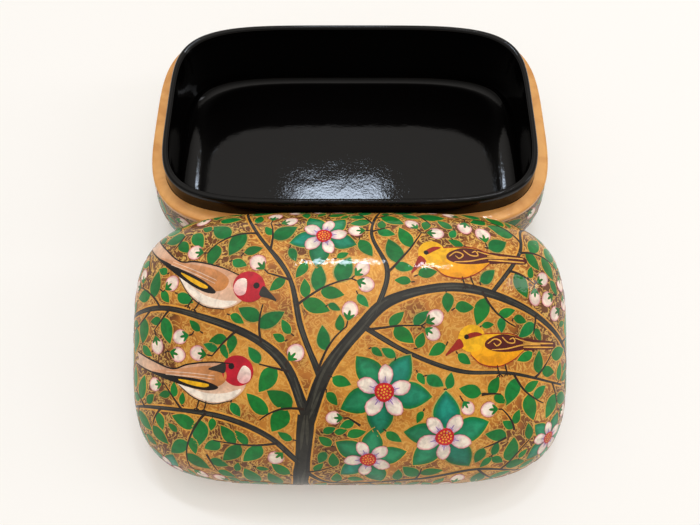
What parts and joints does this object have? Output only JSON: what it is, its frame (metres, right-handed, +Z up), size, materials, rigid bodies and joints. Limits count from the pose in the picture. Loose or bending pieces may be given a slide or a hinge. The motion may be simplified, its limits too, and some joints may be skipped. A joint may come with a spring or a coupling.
{
  "type": "lacquered papier-mache box",
  "caption": "Cushion-shaped lacquered papier-mache box, open, its painted domed lid leaning on the ledge of the black-lined base.",
  "frame": {"origin": "centre of the base's underside, on the table", "axes": "+X along the box's length, to the right in the picture; +Y from the leaning lid towards the base's back; +Z up"},
  "size_m": [0.2086, 0.245, 0.0755],
  "materials": {
    "painted_base": "papier-mache painted with leaves and blossoms on gold, clear lacquer",
    "bottom": "papier-mache board, black lacquer, satin",
    "gold_ledge": "papier-mache strip, gold paint under clear lacquer",
    "black_tray": "papier-mache, black gloss lacquer",
    "black_floor": "papier-mache board, black gloss lacquer with a faint orange peel",
    "painted_lid": "papier-mache painted with birds and blossoms on mottled gold, clear gloss lacquer",
    "gold_rim": "papier-mache strip, gold paint under clear lacquer",
    "black_lining": "papier-mache, black gloss lacquer"
  },
  "bodies": {
    "base": {"base_shell": "painted_base", "bottom_board": "bottom", "ledge_strip": "gold_ledge", "tray_wall": "black_tray", "tray_floor": "black_floor"},
    "lid": {"lid_shell": "painted_lid", "lid_rim_strip": "gold_rim", "lid_lining": "black_lining"}
  },
  "joints": [
    {"name": "lid_lift", "type": "slide", "parent": "base", "child": "lid", "axis": [0, 0, 1], "range_m": [0, 0.12]}
  ]
}
